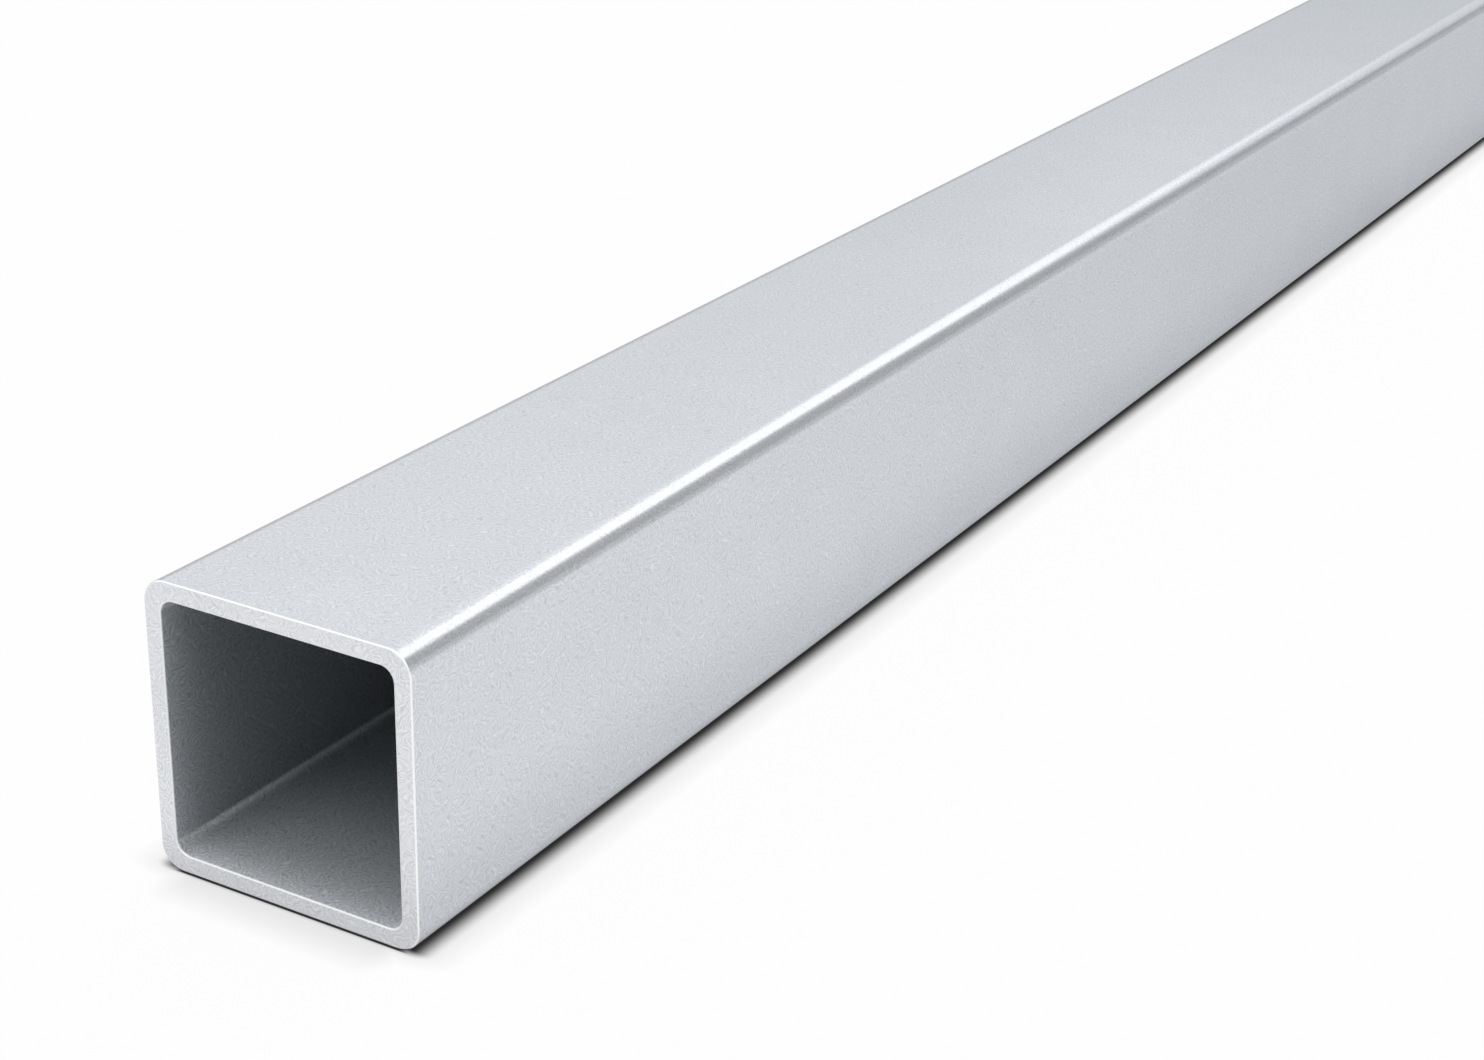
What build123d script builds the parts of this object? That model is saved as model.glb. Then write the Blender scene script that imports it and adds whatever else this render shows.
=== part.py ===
from build123d import *
import os

# Square hollow section: one piece of bright steel tube with rounded corners and sawn ends.
# It lies along X on one of its flat walls. The origin is under the middle of its length,
# on the surface that it rests on, and +Z is up. All sizes are in millimetres.

# Section
SIDE = 50.0          # outside width and height, over the flats
WALL = 3.2           # wall thickness on the flats
OUTER_RADIUS = 4.2   # the outside corners, rolled a little tighter than one and a half walls
INNER_RADIUS = 2.5   # the inside corners, which leave more metal in the corner than in the wall

# Length of stock, from sawn end to sawn end
LENGTH = 1000.0

# Bevel that deburring leaves round both rims of a sawn end
ARRIS = 0.3

bore_side = SIDE - 2 * WALL

# The plane of the first sawn end, square to the tube, centred on the tube's own axis.
sawn_end = Plane(origin=(-LENGTH / 2, 0, SIDE / 2), x_dir=(0, 1, 0), z_dir=(1, 0, 0))

with BuildPart() as square_tube:
    # The section is the same all along: a rounded square with a rounded square bore.
    with BuildSketch(sawn_end) as section:
        RectangleRounded(SIDE, SIDE, OUTER_RADIUS)
        RectangleRounded(bore_side, bore_side, INNER_RADIUS, mode=Mode.SUBTRACT)
    extrude(amount=LENGTH)

    # Both sawn ends are deburred, outside and inside, so no rim is left sharp.
    end_faces = square_tube.faces().filter_by(Axis.X)
    chamfer(end_faces.edges(), length=ARRIS)

square_tube.part.label = "square_tube"

os.makedirs("parts", exist_ok=True)
export_step(square_tube.part, "parts/square_tube.step")
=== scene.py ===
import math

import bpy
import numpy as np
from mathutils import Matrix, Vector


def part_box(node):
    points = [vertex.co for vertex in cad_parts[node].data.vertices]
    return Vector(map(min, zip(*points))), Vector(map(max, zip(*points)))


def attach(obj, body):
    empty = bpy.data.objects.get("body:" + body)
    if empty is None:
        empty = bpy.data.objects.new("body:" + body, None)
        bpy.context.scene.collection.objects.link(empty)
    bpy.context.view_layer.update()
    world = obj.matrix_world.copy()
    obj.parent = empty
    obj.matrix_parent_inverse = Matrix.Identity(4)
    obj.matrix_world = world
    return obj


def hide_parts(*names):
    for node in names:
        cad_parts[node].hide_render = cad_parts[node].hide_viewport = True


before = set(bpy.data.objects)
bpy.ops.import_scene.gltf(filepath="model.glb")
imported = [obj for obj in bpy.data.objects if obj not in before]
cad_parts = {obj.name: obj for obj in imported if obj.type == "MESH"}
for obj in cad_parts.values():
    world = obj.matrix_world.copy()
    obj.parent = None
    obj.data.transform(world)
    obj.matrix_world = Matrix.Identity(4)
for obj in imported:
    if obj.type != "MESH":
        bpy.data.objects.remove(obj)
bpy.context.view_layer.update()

# %% [markdown]
# # A length of square steel tube
#
# The object is one piece of square hollow section: strip that was rolled into a square, welded, zinc
# plated, sawn to length and deburred. It has only a few things to get right, so each of them shows: the
# section with its rounded corners, the fine light line round each sawn rim, the satin grain of the zinc,
# and the way that light runs along the walls and dies away inside the bore.
#
# Everything is in metres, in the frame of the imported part: the tube lies along X and rests on z = 0.

MM = 0.001
NODE = "square_tube"

low, high = (np.array(corner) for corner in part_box(NODE))
LENGTH, SIDE = high[0] - low[0], high[2] - low[2]
AXIS_HEIGHT = (low[2] + high[2]) / 2
NEAR_END = low[0]

print("nodes:", sorted(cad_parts))
print(f"tube: {LENGTH / MM:.1f} mm long, {SIDE / MM:.1f} mm square, from x = {NEAR_END:.3f} m")

# %% [markdown]
# ## The tube as one closed surface
#
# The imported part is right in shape, but its corners are cut into flat facets, and where a facet meets a
# wall the shading jumps. On satin metal that jump is a visible crease, because a rounded corner is mostly
# highlight. Its sawn rims are flat bevels too, where a brushed edge is round and always finds some light.
#
# A tube is the product of two closed outlines. Cut it across, and its wall is a rounded square. Cut it
# along, and each wall is a very long, thin rounded rectangle: out along the outside, round the sawn rim,
# back through the bore, and round the other rim. Carrying one outline round the other gives the whole tube
# in one grid, closed both ways like a ring, so there is no seam, no pole and no cap to fill. Both outlines
# come from one function.
#
# It could also be an extruded curve with a Solidify and a Bevel modifier. The grid was chosen because the
# two outlines also give each point's true normal, so wide flat walls shade flat right up to their round
# corners.

# %% One rounded outline serves for both
def quarter_turns(steps):
    """Angles of the points on four rounded corners, and the corner that each belongs to.

    Corner k turns from k to k + 1 quarters of a circle in equal steps, with a point at both ends. The
    end of one corner and the start of the next have the same angle, and the flat side is the face
    between them."""
    corner = np.repeat(np.arange(4), steps + 1)
    step = np.tile(np.arange(steps + 1), 4)
    return (corner + step / steps) * math.pi / 2, corner


def rounded_outline(half_width, half_height, radius, angle, corner):
    """Points of a rounded rectangle, and the directions in which they face, as two arrays (..., 2).

    A corner's centre lies in from both sides by the radius. A point is the centre plus the radius times
    its direction, and its direction is (cosine, sine) of its angle. Sizes may be arrays that broadcast."""
    facing = np.stack([np.cos(angle), np.sin(angle)], -1)
    sign = np.array([[1, 1], [-1, 1], [-1, -1], [1, -1]])[corner]
    inward = np.stack(np.broadcast_arrays(half_width - radius, half_height - radius), -1)
    return sign * inward + facing * np.asarray(radius)[..., None], facing


print("a corner in two steps has points at", np.degrees(quarter_turns(2)[0][:3]), "degrees")

# %% The wall cut along the tube, and the section cut across it
WALL = 3.2 * MM             # wall thickness
OUTER_RADIUS = 4.2 * MM     # outside corners of the section
INNER_RADIUS = 2.5 * MM     # inside corners of the section
RIM_RADIUS = 0.3 * MM       # the deburred edge round each sawn end
CORNER_STEPS = 20           # facets in a quarter turn of a section corner
RIM_STEPS = 6               # facets in a quarter turn of a rim

# The wall's outline says how deep below the outside, and how far along the tube, each station is.
wall_angle, wall_corner = quarter_turns(RIM_STEPS)
wall_outline, wall_facing = rounded_outline(WALL / 2, LENGTH / 2, RIM_RADIUS, wall_angle, wall_corner)
depth = WALL / 2 - wall_outline[:, 0]
along = wall_outline[:, 1]

# The section's outline is worked out at every one of those depths. Its side and its radius shrink inwards.
turn, turn_corner = quarter_turns(CORNER_STEPS)
half_side = (SIDE / 2 - depth)[:, None]
radius = (OUTER_RADIUS + (INNER_RADIUS - OUTER_RADIUS) * depth / WALL)[:, None]
section, section_facing = rounded_outline(half_side, half_side, radius, turn, turn_corner)

rows, columns = section.shape[:2]
print(f"grid: {rows} stations round the wall by {columns} points round the section")
print(f"section: {SIDE / MM:.1f} mm outside, {(SIDE - 2 * WALL) / MM:.1f} mm bore")

# %% The grid becomes a mesh
def ring_faces(rows, columns):
    """Corner numbers of the quads of a grid that is closed both ways, as an array (rows * columns, 4)."""
    row, column = np.meshgrid(np.arange(rows), np.arange(columns), indexing="ij")
    below, beside = (row + 1) % rows, (column + 1) % columns
    corners = (row, column), (row, beside), (below, beside), (below, column)
    return np.stack([down * columns + across for down, across in corners], -1).reshape(-1, 4)


def mesh_object(name, points, faces):
    """A mesh object with its place in its vertices and its own origin at the frame's."""
    mesh = bpy.data.meshes.new(name)
    mesh.from_pydata(points.tolist(), [], faces.tolist())
    made = bpy.data.objects.new(name, mesh)
    bpy.context.scene.collection.objects.link(made)
    return made


points = np.empty((rows, columns, 3))
points[..., 0] = along[:, None]
points[..., 1:] = section + [0, AXIS_HEIGHT]

# A point faces outwards with the section where the wall faces out, and along the tube at a sawn end.
normals = np.empty_like(points)
normals[..., 0] = wall_facing[:, 1, None]
normals[..., 1:] = section_facing * wall_facing[:, 0, None, None]

tube = mesh_object("zinc_plated_tube", points.reshape(-1, 3), ring_faces(rows, columns))
tube.data.polygons.foreach_set("use_smooth", np.ones(rows * columns, bool))
tube.data.normals_split_custom_set_from_vertices(normals.reshape(-1, 3))

face_normals = np.empty(rows * columns * 3)
tube.data.polygons.foreach_get("normal", face_normals)
outward = (face_normals.reshape(-1, 3) * normals.reshape(-1, 3)).sum(1)
print(f"tube: {rows * columns} quads, all facing outwards: {bool((outward > 0).all())}")

# %% [markdown]
# ## What the workshop did to each place
#
# One material covers the whole tube, but the metal isn't the same everywhere. The plating hardly gets
# into the bore, and a painted shade darkens the bore from its mouth inwards. A painted highlight runs
# along the bore's inside corners. The saw cut through the steel at both ends, and the deburring tool rubbed
# the rims bright, and a painted highlight brightens them further.
#
# These places could be four materials on four sets of faces, but then each would end at a hard line.
# Instead each is a number from 0 to 1 that is stored with the points of the mesh, as an attribute. A
# material reads it by name and blends by it, and it is as smooth as the outlines that it comes from.

# %% Four marks on the mesh
CORNER_HIGHLIGHT_AT = 21.0            # degrees round an inside corner from its side wall, where the painted highlight peaks
CORNER_HIGHLIGHT_SHARPNESS = 5        # how quickly that fades to both sides


def mark(name, amount):
    """Stores an amount from 0 to 1, an array that broadcasts to the grid, with every point of the tube."""
    attribute = tube.data.attributes.new(name, "FLOAT", "POINT")
    attribute.data.foreach_set("value", np.broadcast_to(amount, (rows, columns)).astype(np.float32).ravel())
    print(f"mark: {name}, up to {amount.max():.2f}")


# It is 1 on the walls of the bore and 0 on the outside and the sawn faces, and rises round the inner rims.
in_bore = np.clip(depth / WALL * 2 - 1, 0, 1) * np.clip(-wall_facing[:, 0], 0, 1)
mark("bored", in_bore[:, None])

# At the inside corners, a painted highlight: a hump over the angle from the side wall. The angle is divided
# by that of the peak. That quotient, times e to the power of 1 less the quotient, is 0 at the wall and at
# its highest, 1, at the peak. A power of it makes the hump narrower.
from_side = np.degrees(np.arctan2(np.abs(np.sin(turn)), np.abs(np.cos(turn))))
to_peak = from_side / CORNER_HIGHLIGHT_AT
mark("corner_highlight", in_bore[:, None] * (to_peak * np.exp(1 - to_peak)) ** CORNER_HIGHLIGHT_SHARPNESS)

# The square of how far the wall faces along the tube is 1 on the end faces and 0 on the walls.
mark("sawn", wall_facing[:, 1, None] ** 2)

# Twice the product of the two directions is 1 in the middle of a rim's quarter turn and 0 at both its ends.
# The rims are rubbed bright by the deburring tool, and carry a painted highlight as well.
mark("burnished_and_highlight", np.abs(wall_facing[:, 0] * wall_facing[:, 1])[:, None] * 2)

# %% [markdown]
# ## Materials out of nodes
#
# A material is a tree of nodes. Three helpers are enough to write one as text: the first turns a colour as
# a painter's chart gives it into the linear numbers that light adds up in, the second adds one node with
# its settings and links, and the third starts an empty material.

# %% Helpers for materials
def linear(colour, alpha=1.0):
    """A colour written as sRGB hex, as the linear numbers that shaders take.

    Below 0.04045 a channel is divided by 12.92. Above it, it is moved and scaled, and raised to the
    power 2.4."""
    channels = np.array([int(colour[i:i + 2], 16) for i in (1, 3, 5)]) / 255
    return (*np.where(channels <= 0.04045, channels / 12.92, ((channels + 0.055) / 1.055) ** 2.4), alpha)


def add(tree, kind, inputs, **settings):
    """Adds a node. inputs names its sockets, each with a value or an output to link; settings are its
    properties."""
    made = tree.nodes.new("ShaderNode" + kind)
    for name, value in settings.items():
        setattr(made, name, value)
    for socket, value in inputs.items():
        if isinstance(value, bpy.types.NodeSocket):
            tree.links.new(value, made.inputs[socket])
        else:
            made.inputs[socket].default_value = value
    return made


def new_material(name):
    """An empty material and its node tree."""
    material = bpy.data.materials.new(name)
    material.use_nodes = True
    material.node_tree.nodes.clear()
    return material, material.node_tree


print("white in linear light:", linear("#ffffff"), "and a middle grey:", np.round(linear("#808080"), 3))

# %% [markdown]
# ## The grain of the plate
#
# The strip was skin-passed between matt rolls, which leaves short curled ridges, and the plating follows
# them. From a distance they blur into an even satin. Close by they are a field of faint light and dark
# strokes that run in every direction.
#
# A wave texture would make stripes and a noise would make clouds. This grain is packets of waves. A Voronoi
# texture cuts space into cells, and gives each cell a centre and a random colour. The colour, read as a
# direction, says which way along the surface that cell's waves run. The distance that way from the centre,
# put through a cosine, is the ridges, and they fade towards the edge of the cell, so neighbouring packets
# melt into each other. Bending the coordinates with a little noise first curls the strokes.
#
# The direction has to lie in the surface. Waves that ran into the metal would be cut at a slant, and show
# as broad blots instead of strokes.
#
# It all reads Object coordinates in millimetres, so one pattern runs over the walls, the corners and the
# sawn ends with no seam. Ridges like these lie 0.2 to 0.5 mm apart on real strip, which is finer than a
# render of the whole tube can show, so they are drawn 0.6 mm apart at the finest, as coarse as they need to
# show. Two coarser and fainter grains carry on where that one gets too small to see, further along.

# %% Packets of ridges
CURL = 1.5                  # mm by which noise bends the coordinates
CURL_SIZE = 1.4             # mm across one bend
# Each grain is the mm across a packet, the mm between its ridges, and its strength.
GRAINS = [(1.15, 0.62, 1.0), (2.3, 1.1, 0.5), (4.6, 2.2, 0.15)]
FADE = (0.3, 0.95)          # where ridges start to fade and are gone, in packet sizes from its centre

zinc, tree = new_material("satin_zinc_plate")
surface_at = add(tree, "TexCoord", {}).outputs
place_mm = add(tree, "VectorMath", {0: surface_at["Object"], "Scale": 1 / MM}, operation="SCALE").outputs[0]
bend = add(tree, "TexNoise", {"Vector": place_mm, "Scale": 1 / CURL_SIZE, "Detail": 0.0}).outputs["Color"]
curled = add(tree, "VectorMath", {0: bend, 1: (CURL, CURL, CURL), 2: place_mm},
             operation="MULTIPLY_ADD").outputs[0]

strokes = 0.0
for packet_size, spacing, strength in GRAINS:
    packet = add(tree, "TexVoronoi", {"Vector": curled, "Scale": 1 / packet_size}).outputs
    # Three random numbers from 0 to 1, each less a half, point any way. The cross product of that with the
    # surface's normal points any way along the surface.
    run = add(tree, "VectorMath", {0: packet["Color"], 1: (0.5, 0.5, 0.5)}, operation="SUBTRACT").outputs[0]
    run = add(tree, "VectorMath", {0: run, 1: surface_at["Normal"]}, operation="CROSS_PRODUCT").outputs[0]
    run = add(tree, "VectorMath", {0: run}, operation="NORMALIZE").outputs[0]
    offset = add(tree, "VectorMath", {0: curled, 1: packet["Position"]}, operation="SUBTRACT").outputs[0]
    offset = add(tree, "VectorMath", {0: offset, 1: run}, operation="DOT_PRODUCT").outputs["Value"]
    wave = add(tree, "Math", {0: offset, 1: 2 * math.pi / spacing}, operation="MULTIPLY").outputs[0]
    wave = add(tree, "Math", {0: wave}, operation="COSINE").outputs[0]
    fade = add(tree, "MapRange", {"Value": packet["Distance"], "From Min": FADE[0], "From Max": FADE[1],
                                  "To Min": strength, "To Max": 0.0}, interpolation_type="SMOOTHSTEP")
    strokes = add(tree, "Math", {0: wave, 1: fade.outputs[0], 2: strokes},
                  operation="MULTIPLY_ADD").outputs[0]
    print(f"grain: packets {packet_size} mm across, {packet_size / spacing:.1f} ridges in each")

# %% [markdown]
# ## The colours of one metal
#
# Bright zinc is pale and a little blue. At the mouth of the bore the plating is pale too, but matt, and it
# thins out within 25 mm, quickly at first, to bare grey steel; the same fall in colour is also a painted
# shade, darker further in. The cut through the wall is clean steel, brighter and less blue. The rims were
# rubbed bright, and they and the inside corners of the bore carry a painted highlight, so they are the
# brightest.
#
# The grain lightens and darkens this colour as well as bending the surface, because a ridge stands for many
# finer ones that a render can't show, and what the eye sees of those is only their tone.

# %% Which steel shows where
ZINC = "#d7dade"            # bright zinc, a little blue
SAWN_STEEL = "#dfe0e4"      # the cut through the wall
BRIGHT_RIM = "#fbfcfd"      # rubbed by the deburring tool, and brighter still as a painted highlight
MOUTH_STEEL = "#dfe3e7"     # matt plating at the mouth of the bore, and the light end of a painted shade
BORE_STEEL_AND_SHADE = "#9ea3a7"      # bare skin-passed steel further in, darkened further as painted shade
CORNER_HIGHLIGHT_COLOUR = "#f0f2f4"    # painted highlight along the inside corners of the bore
CORNER_HIGHLIGHT_SHARE = 0.9          # how much of that painted highlight shows
PLATING_AND_SHADE_DEPTH = 25.0                # mm into the bore at which no plating is left and the painted shade is darkest, about half the tube's width
PLATING_AND_SHADE_POWER = 4.5           # above 1, plating and painted shade change quickly at first
END_MM = LENGTH / 2 / MM    # mm from the middle of the tube to an end

is_bored = add(tree, "Attribute", {}, attribute_name="bored").outputs["Fac"]
is_corner_highlight = add(tree, "Attribute", {}, attribute_name="corner_highlight").outputs["Fac"]
is_sawn = add(tree, "Attribute", {}, attribute_name="sawn").outputs["Fac"]
is_burnished_and_highlight = add(tree, "Attribute", {}, attribute_name="burnished_and_highlight").outputs["Fac"]

middle = add(tree, "SeparateXYZ", {0: place_mm}).outputs["X"]
middle = add(tree, "Math", {0: middle}, operation="ABSOLUTE").outputs[0]
# Painted shade as well as thinner plating: 1 at the mouth, falling quickly to 0 deeper in.
plated_and_lit = add(tree, "MapRange", {"Value": middle, "From Min": END_MM - PLATING_AND_SHADE_DEPTH, "From Max": END_MM})
plated_and_lit = add(tree, "Math", {0: plated_and_lit.outputs[0], 1: PLATING_AND_SHADE_POWER}, operation="POWER").outputs[0]
highlight_share = add(tree, "Math", {0: is_corner_highlight, 1: CORNER_HIGHLIGHT_SHARE}, operation="MULTIPLY").outputs[0]

bore = add(tree, "Mix", {"Factor": plated_and_lit, "A": linear(BORE_STEEL_AND_SHADE), "B": linear(MOUTH_STEEL)},
           data_type="RGBA").outputs["Result"]
# Painted highlight along the inside corners of the bore.
bore = add(tree, "Mix", {"Factor": highlight_share, "A": bore, "B": linear(CORNER_HIGHLIGHT_COLOUR)},
           data_type="RGBA").outputs["Result"]
metal = add(tree, "Mix", {"Factor": is_sawn, "A": linear(ZINC), "B": linear(SAWN_STEEL)},
            data_type="RGBA").outputs["Result"]
metal = add(tree, "Mix", {"Factor": is_bored, "A": metal, "B": bore}, data_type="RGBA").outputs["Result"]
# The painted shade in the bore is darkest at that same depth.
print("plating: none from", PLATING_AND_SHADE_DEPTH, "mm into the bore, and all over the outside")

# %% Satin zinc plate
# Satin zinc plate on skin-passed steel: a soft, pale sheen that holds the shape of a light but no sharp
# image. The bare steel of the bore is dull with oxide and oil, so it is rougher, and less of a mirror.
CLOUD_SIZE = 14.0           # mm across the faint clouds in the plating
CLOUDS = (0.97, 1.03)       # how dark and how light they go
GRAIN_CONTRAST = (0.107, 0.19)  # how far the grain's tone goes from the mean, outside and in the bore
RIDGE_HEIGHT = 0.0008       # mm; a rolled and plated surface is rough by about a thousandth of a millimetre
ROUGHNESS = (0.24, 0.6)     # outside, in the bore
METALLIC = (1.0, 0.3)       # outside, in the bore
EDGE_TINT = "#d7d9dc"       # dust and oxide take a little off the mirror at a glancing angle

clouds = add(tree, "TexNoise", {"Vector": place_mm, "Scale": 1 / CLOUD_SIZE, "Detail": 2.0}).outputs[0]
clouds = add(tree, "MapRange", {"Value": clouds, "To Min": CLOUDS[0], "To Max": CLOUDS[1]}).outputs[0]
contrast, roughness, metallic = (
    add(tree, "MapRange", {"Value": is_bored, "To Min": outside, "To Max": inside}).outputs[0]
    for outside, inside in (GRAIN_CONTRAST, ROUGHNESS, METALLIC))

tone = add(tree, "Math", {0: strokes, 1: contrast, 2: clouds}, operation="MULTIPLY_ADD").outputs[0]
metal = add(tree, "VectorMath", {0: metal, "Scale": tone}, operation="SCALE").outputs[0]
# Painted highlight on the rubbed rims, where the ridges are also left off.
metal = add(tree, "Mix", {"Factor": is_burnished_and_highlight, "A": metal, "B": linear(BRIGHT_RIM)},
            data_type="RGBA").outputs["Result"]
off_rim = add(tree, "Math", {0: 1.0, 1: is_burnished_and_highlight}, operation="SUBTRACT").outputs[0]
ridges = add(tree, "Bump", {"Height": strokes, "Strength": off_rim, "Distance": RIDGE_HEIGHT * MM})
steel = add(tree, "BsdfPrincipled", {"Base Color": metal, "Metallic": metallic, "Roughness": roughness,
                                     "Specular Tint": linear(EDGE_TINT), "Normal": ridges.outputs[0]})
add(tree, "OutputMaterial", {"Surface": steel.outputs[0]})
tube.data.materials.append(zinc)
print(f"{zinc.name}: {len(tree.nodes)} nodes")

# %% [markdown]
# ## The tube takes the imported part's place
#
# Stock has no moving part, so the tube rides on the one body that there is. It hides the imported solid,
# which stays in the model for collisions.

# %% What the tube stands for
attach(tube, "root")
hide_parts(NODE)
print(tube.name, "stands for", NODE)

# %% [markdown]
# ## The studio
#
# A white table under a white sky. Satin metal shows what stands round it, so the room matters as much as
# the lamps: the walls of the tube are bright because they look at white paper and white sky.
#
# White paper under plain light renders a little grey. More light would burn out the metal, so the paper
# answers each kind of ray for itself, which the Light Path node tells apart. The camera sees it almost as a
# plain white, with more of its real light and shadow near the tube's foot. A reflection sees it white too,
# with a painted shade near the foot. Every other ray finds matt paper, and so the light that it throws back
# under the tube is real.
#
# A tube that rests on its own rounded corners leaves a thin dark gap at its foot, far darker than the soft
# shadow of a white sky makes it. It is painted on the paper as a shade that depends on the distance from
# the foot. The distance from a rectangle is the length of what is left when half its sides are taken from a
# point's own coordinates, made positive, with nothing below 0 kept.

# %% A white table
FLOOR_HALF = 6.0            # half the side of the table, in metres
FLOOR_GAP = 0.02            # mm that the table lies below the tube, so that the two surfaces never fight
TABLE_WHITE = "#cccccc"     # what the paper throws back at other things
WHITE = "#ffffff"

floor_corners = np.array([(-1, -1), (1, -1), (1, 1), (-1, 1)]) * FLOOR_HALF
floor_points = np.column_stack([floor_corners, np.full(4, low[2] - FLOOR_GAP * MM)])
floor = mesh_object("table", floor_points, np.array([[0, 1, 2, 3]]))

# Uncoated white paper: matt, so it has no reflections of its own.
paper, tree = new_material("white_paper")
paper_place = add(tree, "TexCoord", {}).outputs["Object"]
folded = add(tree, "VectorMath", {0: paper_place}, operation="ABSOLUTE").outputs[0]


def distance_from(half_x, half_y, stretch_x, stretch_y):
    """How far outside a rectangle round the origin a point of the table is, in millimetres.

    What lies past each half side is stretched by its own factor, and the two are the sides of a right
    angle."""
    past = add(tree, "VectorMath", {0: folded, 1: (half_x, half_y, 0)}, operation="SUBTRACT").outputs[0]
    past = add(tree, "VectorMath", {0: past, 1: (0, 0, 0)}, operation="MAXIMUM").outputs[0]
    past = add(tree, "VectorMath", {0: past, 1: (stretch_x / MM, stretch_y / MM, 0)}, operation="MULTIPLY")
    return add(tree, "VectorMath", {0: past.outputs[0]}, operation="LENGTH").outputs["Value"]


print(f"table: {2 * FLOOR_HALF:.0f} m square, {FLOOR_GAP} mm below the tube")

# %% The dark line at the foot
# Each rectangle is half its length, half its width, and how fast its shade fades past its ends and sides.
FOOT = LENGTH / 2 - 1.2 * MM, SIDE / 2 - 2.1 * MM, 1.9, 1.0             # under the two walls
END_LINE = LENGTH / 2 + 0.12 * MM, SIDE / 2 - OUTER_RADIUS, 16.0, 1.0   # a line under each sawn end
BROAD = LENGTH / 2, SIDE / 2 - 7 * MM, 1.0, 1.5                         # the wider shade before an end
DARKEST = 0.04              # brightness under the edge of the foot
FOOT_WIDTH = 4.2            # mm over which it rises to full brightness

contact = 1.0
for rectangle in (FOOT, END_LINE):
    shade = add(tree, "MapRange", {"Value": distance_from(*rectangle), "From Max": FOOT_WIDTH,
                                   "To Min": DARKEST}, interpolation_type="SMOOTHSTEP").outputs[0]
    contact = add(tree, "Math", {0: shade, 1: contact}, operation="MINIMUM").outputs[0]
clear = add(tree, "Math", {0: distance_from(*FOOT), 1: distance_from(*BROAD)}, operation="MINIMUM")
clear = clear.outputs[0]
print(f"foot: brightness {DARKEST} at the tube, full {FOOT_WIDTH} mm away")

# %% What the camera sees
PLAIN = (0.55, 0.97)        # share of plain white that the camera sees, at the foot and clear of it
PLAIN_WIDTH = 9.0           # mm over which that share rises

rays = add(tree, "LightPath", {}).outputs
plain = add(tree, "MapRange", {"Value": clear, "From Max": PLAIN_WIDTH, "To Min": PLAIN[0],
                               "To Max": PLAIN[1]}).outputs[0]
# What is seen through glass would count as seen by the camera. This set has none.
seen = add(tree, "Math", {0: rays["Is Camera Ray"], 1: rays["Is Transmission Ray"]}, operation="MAXIMUM")
seen = add(tree, "Math", {0: seen.outputs[0], 1: plain}, operation="MULTIPLY").outputs[0]

shaded_paper = add(tree, "VectorMath", {0: linear(TABLE_WHITE)[:3], "Scale": contact}, operation="SCALE")
matt = add(tree, "BsdfDiffuse", {"Color": shaded_paper.outputs[0]}).outputs[0]
white = add(tree, "Emission", {"Color": linear(WHITE), "Strength": contact}).outputs[0]
direct = add(tree, "MixShader", {0: seen, 1: matt, 2: white}).outputs[0]
print(f"plain white: {PLAIN[0]:.0%} at the foot, {PLAIN[1]:.0%} from {PLAIN_WIDTH} mm on")

# %% What a reflection sees
# Reflections see a painted shade: the paper is dimmer near the foot, and dark in the gap under the tube.
MIRRORED = (0.78, 1.0)      # painted brightness of the paper in reflections, near the foot and clear of it
MIRRORED_RISE = (2.0, 24.0) # mm from the foot between which it rises
GAP = LENGTH / 2 + 0.2 * MM, SIDE / 2 - 3.0 * MM, 10.0, 1.0     # the painted dark gap under the tube
GAP_WIDTH = 2.5             # mm over which the paper brightens beside it

near_foot = add(tree, "MapRange", {"Value": clear, "From Min": MIRRORED_RISE[0],
                                   "From Max": MIRRORED_RISE[1], "To Min": MIRRORED[0],
                                   "To Max": MIRRORED[1]}).outputs[0]
gap = add(tree, "MapRange", {"Value": distance_from(*GAP), "From Max": GAP_WIDTH, "To Min": DARKEST},
          interpolation_type="SMOOTHSTEP").outputs[0]
mirrored = add(tree, "Math", {0: near_foot, 1: gap}, operation="MULTIPLY").outputs[0]
mirrored = add(tree, "Emission", {"Color": linear(WHITE), "Strength": mirrored}).outputs[0]
surface = add(tree, "MixShader", {0: rays["Is Glossy Ray"], 1: direct, 2: mirrored}).outputs[0]
add(tree, "OutputMaterial", {"Surface": surface})
floor.data.materials.append(paper)
print(f"{paper.name}: {len(tree.nodes)} nodes")

# %% A white sky
SKY = 1.11                  # a little over plain white, so that the satin walls render pale

world = bpy.data.worlds.new("white_sky")
bpy.context.scene.world = world
world.use_nodes = True
sky = world.node_tree.nodes["Background"].inputs
sky["Color"].default_value = linear(WHITE)
sky["Strength"].default_value = SKY
print("sky: strength", SKY)

# %% [markdown]
# ## The camera
#
# It stands in front of one end and to the right of it, four tubes above the table, and looks along and down
# the tube. The far end runs out of the view at the upper right, so the tube reads as a long bar. Standing
# close makes the near end big, and lets the walls run away from it. The lens is a little longer than a
# normal one.
#
# A heading, a dip and a roll are easier to think in than three Euler angles, so a function turns them into
# the camera's own axes.

# %% Camera
CAMERA_PLACE = np.array([-0.7606, -0.2271, 0.2101])
HEADING = 29.72             # degrees from +X towards +Y
DIP = 23.17                 # degrees below level
ROLL = 1.41                 # degrees, with the right-hand side raised
LENS = 62.5                 # mm
SENSOR = 36.0               # mm across
CLIP = (0.01, 50.0)         # metres between which it sees


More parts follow.
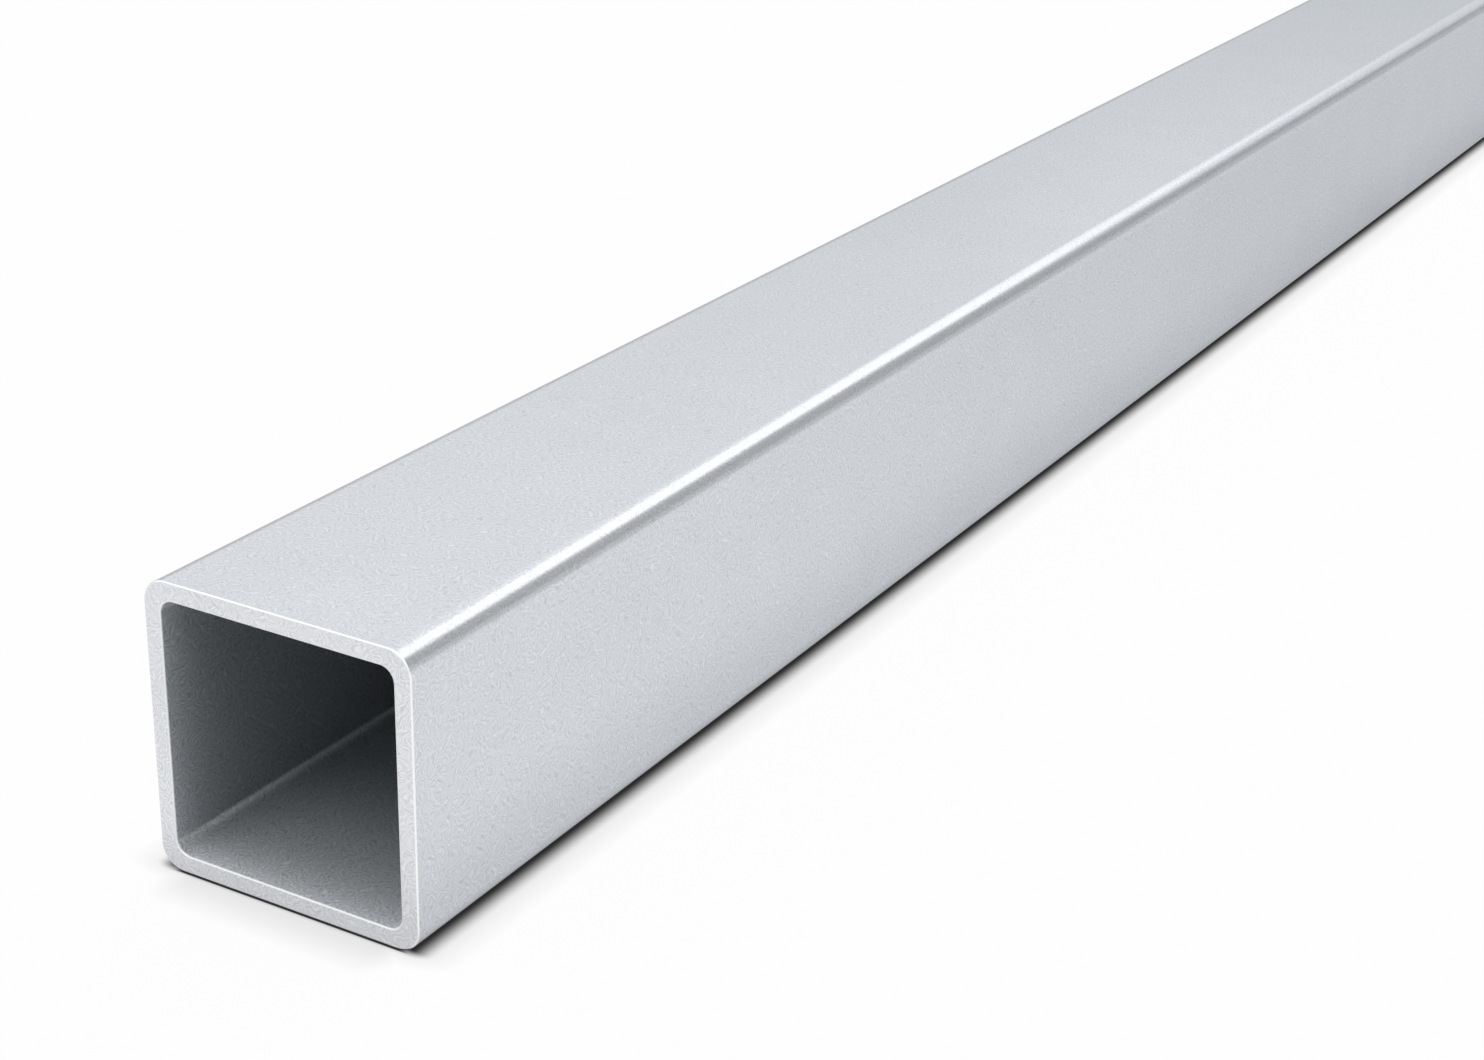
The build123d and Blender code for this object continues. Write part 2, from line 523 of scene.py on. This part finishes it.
def view_axes(heading, dip, roll):
    """Unit vectors to the right, up and forward of a camera: forward points along the heading and down
    by the dip, right is level and square to it, and the roll turns right towards up."""
    a, b, c = np.radians([heading, dip, roll])
    forward = np.array([math.cos(b) * math.cos(a), math.cos(b) * math.sin(a), -math.sin(b)])
    level = np.array([math.sin(a), -math.cos(a), 0])
    upright = np.cross(level, forward)
    right = level * math.cos(c) + upright * math.sin(c)
    return right, np.cross(right, forward), forward


def placed(axes, place):
    """The matrix of an object with the given X, Y and Z axes, at a place."""
    matrix = np.eye(4)
    matrix[:3, :3] = np.stack(axes, 1)
    matrix[:3, 3] = place
    return Matrix(matrix.tolist())


right, up, forward = view_axes(HEADING, DIP, ROLL)
camera = bpy.data.objects.new("camera", bpy.data.cameras.new("camera"))
camera.data.lens = LENS
camera.data.sensor_width = SENSOR
camera.data.clip_start, camera.data.clip_end = CLIP
camera.matrix_world = placed((right, up, -forward), CAMERA_PLACE)
bpy.context.scene.collection.objects.link(camera)
bpy.context.scene.camera = camera
bpy.context.scene.view_settings.view_transform = "Standard"

to_near_end = np.linalg.norm(CAMERA_PLACE - [NEAR_END, 0, AXIS_HEIGHT])
print(f"camera: {to_near_end:.2f} m from the near end, {math.degrees(camera.data.angle):.0f} degrees wide")

# %% [markdown]
# ## Soft boxes and cards
#
# A long soft box hangs over the right-hand side. A rounded corner shows it as one bright line from end to
# end, which is what says that the corner is round. A smaller box above the near end lights the sawn face.
#
# Metal needs dark things to look at as well. A card beside the tube is shown just below the bright line,
# and gives it a darker edge. A low wall right round the set takes the glare off the far end, which is seen
# at a glancing angle. A dark flag beside the near end keeps light from falling straight into the bore. It
# works on matt surfaces only: reflections pass it by, or the top of the tube would look black to someone
# who faces the flag.
#
# The cards could be painted boards under the lamps, but then each would change with every lamp that moves.
# They glow with their written grey instead, so what the metal shows of them is what is written here. The
# camera doesn't see them. A matt surface does, and gets less light from them than from the sky that they
# cover.

# %% Soft boxes
def studio_point(ahead, beside, height):
    """A place given in the camera's directions, in metres from the middle of the near end: ahead along
    its heading, beside to its right, and height above the table."""
    a = math.radians(HEADING)
    level_ahead = np.array([math.cos(a), math.sin(a), 0])
    level_right = np.array([math.sin(a), -math.cos(a), 0])
    return np.array([NEAR_END, 0, height]) + ahead * level_ahead + beside * level_right


def soft_box(name, place, target, width, length, radiance):
    """A soft box at a place, facing a target, with its length along the camera's heading.

    An area light's power in watts is its radiance times pi times its area."""
    light = bpy.data.lights.new(name, "AREA")
    light.shape = "RECTANGLE"
    light.size = width
    light.size_y = length
    light.energy = radiance * math.pi * width * length
    made = bpy.data.objects.new(name, light)
    back = (place - target) / np.linalg.norm(place - target)
    across = np.cross(studio_point(0, 0, 0) - studio_point(1, 0, 0), back)
    across /= np.linalg.norm(across)
    made.matrix_world = placed((across, np.cross(back, across), back), place)
    made.visible_camera = False
    bpy.context.scene.collection.objects.link(made)
    print(f"{name}: {width} by {length} m, {light.energy:.1f} W")


soft_box("strip_box", place=studio_point(1.37, 0.81, 1.0), target=studio_point(1.37, 0.81, 0.0),
         width=0.78, length=2.94, radiance=0.47)
soft_box("fill_box", place=studio_point(-0.52, -0.30, 1.2), target=studio_point(0, 0, 0),
         width=0.7, length=0.6, radiance=2.6)

# %% Cards
def card(name, path, bottom, top, shade):
    """An upright card that stands along a path of (ahead, beside) points, hidden from the camera.

    The path is laid at the card's bottom and at its top, and a quad joins each pair of neighbours."""
    foot = np.stack([studio_point(ahead, beside, 0) for ahead, beside in path])
    corners = np.concatenate([foot + [0, 0, bottom], foot + [0, 0, top]])
    count = len(foot)
    start = np.arange(count - 1)
    made = mesh_object(name, corners, np.stack([start, start + 1, start + 1 + count, start + count], 1))
    # Matt painted board: one even grey from every side.
    material, tree = new_material("painted_board")
    glow = add(tree, "Emission", {"Color": linear(shade)}).outputs[0]
    add(tree, "OutputMaterial", {"Surface": glow})
    # Rays meet so wide a glow often enough by chance, so none are aimed at it as they are at a lamp.
    material.cycles.emission_sampling = "NONE"
    made.data.materials.append(material)
    made.visible_camera = False
    print(f"{name}: {count - 1} boards, {top - bottom:.2f} m high, {shade}")
    return made


WALL_DISTANCE = 3.0         # metres from the near end to the low wall
WALL_RISE = 10.7            # degrees that the low wall rises above the table, as the near end sees it
WALL_BOARDS = 48            # boards in its ring

card("side_card", path=[(-1.0, 1.5), (1.72, 1.5)], bottom=0.34, top=1.36, shade="#c1c1c1")
flag = card("flag", path=[(-1.25, -0.4), (-1.1, 0.3), (-0.75, 0.9), (-0.2, 1.3)], bottom=0.0, top=1.2,
            shade="#202020")
flag.visible_glossy = False
ring = np.linspace(0, 2 * math.pi, WALL_BOARDS + 1)
card("low_wall", path=np.stack([np.cos(ring), np.sin(ring)], 1) * WALL_DISTANCE, bottom=0.0,
     top=WALL_DISTANCE * math.tan(math.radians(WALL_RISE)), shade="#dddddd")
